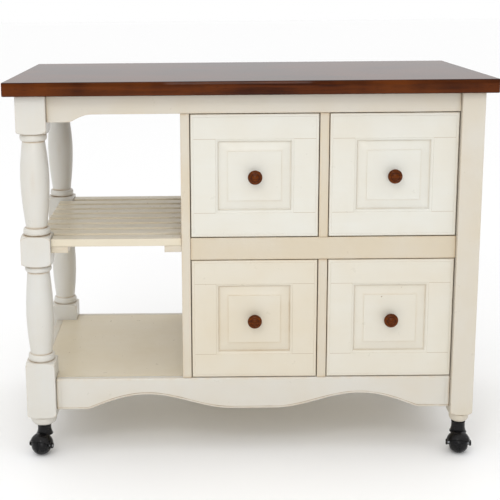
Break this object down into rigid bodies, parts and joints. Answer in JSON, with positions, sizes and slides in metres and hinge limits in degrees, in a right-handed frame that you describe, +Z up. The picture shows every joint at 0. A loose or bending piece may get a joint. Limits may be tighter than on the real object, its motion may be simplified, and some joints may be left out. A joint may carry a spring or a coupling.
{
  "type": "kitchen island cart",
  "caption": "Painted wooden kitchen cart with a dark stained top, framed drawers, an open bay with turned legs, slatted and solid shelves, and swivel casters.",
  "frame": {"origin": "on the floor under the middle of the worktop", "axes": "+X to the right along the worktop, +Y from the drawer side to the back, +Z up"},
  "size_m": [1.13, 0.57, 0.914],
  "materials": {
    "top_stain": "dark reddish-brown stain under a glossy clear coat",
    "frame_paint": "satin cream paint with tan glaze in the joints",
    "leg_paint": "satin cream paint with tan glaze in the turnings",
    "drawer_paint": "satin cream paint with tan glaze in the mouldings",
    "shelf_paint": "satin cream paint",
    "bare_wood": "clear-sealed pale hardwood",
    "knob_stain": "glossy reddish-brown stain",
    "caster_hood": "black moulded nylon",
    "caster_wheel": "black moulded nylon",
    "steel": "bright axle steel"
  },
  "bodies": {
    "root": {"top": "top_stain", "front_left_leg": "leg_paint", "back_left_leg": "leg_paint", "front_right_post": "leg_paint", "back_right_post": "leg_paint", "front_top_rail": "frame_paint", "back_top_rail": "frame_paint", "left_top_rail": "frame_paint", "left_stile": "frame_paint", "mid_rail": "frame_paint", "upper_centre_stile": "frame_paint", "lower_centre_stile": "frame_paint", "front_apron": "frame_paint", "back_apron": "frame_paint", "left_bottom_rail": "frame_paint", "bottom_shelf": "shelf_paint", "partition_panel": "frame_paint", "right_side_panel": "frame_paint", "back_panel": "frame_paint", "slat_1": "shelf_paint", "slat_2": "shelf_paint", "slat_3": "shelf_paint", "slat_4": "shelf_paint", "slat_5": "shelf_paint", "slat_6": "shelf_paint", "slat_7": "shelf_paint", "slat_8": "shelf_paint", "slat_9": "shelf_paint", "left_slat_cleat": "frame_paint", "right_slat_cleat": "frame_paint", "upper_left_drawer_runner": "bare_wood", "upper_right_drawer_runner": "bare_wood", "lower_left_drawer_runner": "bare_wood", "lower_right_drawer_runner": "bare_wood"},
    "upper_left_drawer": {"upper_left_drawer_front": "drawer_paint", "upper_left_drawer_box": "bare_wood", "upper_left_drawer_knob": "knob_stain"},
    "upper_right_drawer": {"upper_right_drawer_front": "drawer_paint", "upper_right_drawer_box": "bare_wood", "upper_right_drawer_knob": "knob_stain"},
    "lower_left_drawer": {"lower_left_drawer_front": "drawer_paint", "lower_left_drawer_box": "bare_wood", "lower_left_drawer_knob": "knob_stain"},
    "lower_right_drawer": {"lower_right_drawer_front": "drawer_paint", "lower_right_drawer_box": "bare_wood", "lower_right_drawer_knob": "knob_stain"},
    "front_left_caster": {"front_left_caster_hood": "caster_hood", "front_left_caster_axle": "steel"},
    "front_left_wheel": {"front_left_caster_wheel": "caster_wheel"},
    "front_right_caster": {"front_right_caster_hood": "caster_hood", "front_right_caster_axle": "steel"},
    "front_right_wheel": {"front_right_caster_wheel": "caster_wheel"},
    "back_left_caster": {"back_left_caster_hood": "caster_hood", "back_left_caster_axle": "steel"},
    "back_left_wheel": {"back_left_caster_wheel": "caster_wheel"},
    "back_right_caster": {"back_right_caster_hood": "caster_hood", "back_right_caster_axle": "steel"},
    "back_right_wheel": {"back_right_caster_wheel": "caster_wheel"}
  },
  "joints": [
    {"name": "upper_left_drawer_slide", "type": "slide", "parent": "root", "child": "upper_left_drawer", "axis": [0, -1, 0], "range_m": [0, 0.33]},
    {"name": "upper_right_drawer_slide", "type": "slide", "parent": "root", "child": "upper_right_drawer", "axis": [0, -1, 0], "range_m": [0, 0.33]},
    {"name": "lower_left_drawer_slide", "type": "slide", "parent": "root", "child": "lower_left_drawer", "axis": [0, -1, 0], "range_m": [0, 0.33]},
    {"name": "lower_right_drawer_slide", "type": "slide", "parent": "root", "child": "lower_right_drawer", "axis": [0, -1, 0], "range_m": [0, 0.33]},
    {"name": "front_left_swivel", "type": "hinge", "parent": "root", "child": "front_left_caster", "pos_m": [-0.504, -0.231, 0.076], "axis": [0, 0, 1], "continuous": true},
    {"name": "front_left_wheel_spin", "type": "hinge", "parent": "front_left_caster", "child": "front_left_wheel", "pos_m": [-0.50985, -0.25013, 0.025], "axis": [0.9563, -0.2924, 0], "continuous": true},
    {"name": "front_right_swivel", "type": "hinge", "parent": "root", "child": "front_right_caster", "pos_m": [0.5125, -0.2395, 0.076], "axis": [0, 0, 1], "continuous": true},
    {"name": "front_right_wheel_spin", "type": "hinge", "parent": "front_right_caster", "child": "front_right_wheel", "pos_m": [0.50972, -0.25931, 0.025], "axis": [0.9903, -0.1392, 0], "continuous": true},
    {"name": "back_left_swivel", "type": "hinge", "parent": "root", "child": "back_left_caster", "pos_m": [-0.504, 0.231, 0.076], "axis": [0, 0, 1], "continuous": true},
    {"name": "back_left_wheel_spin", "type": "hinge", "parent": "back_left_caster", "child": "back_left_wheel", "pos_m": [-0.50816, 0.21144, 0.025], "axis": [0.9781, -0.2079, 0], "continuous": true},
    {"name": "back_right_swivel", "type": "hinge", "parent": "root", "child": "back_right_caster", "pos_m": [0.5125, 0.2395, 0.076], "axis": [0, 0, 1], "continuous": true},
    {"name": "back_right_wheel_spin", "type": "hinge", "parent": "back_right_caster", "child": "back_right_wheel", "pos_m": [0.51076, 0.21958, 0.025], "axis": [0.9962, -0.0872, 0], "continuous": true}
  ]
}
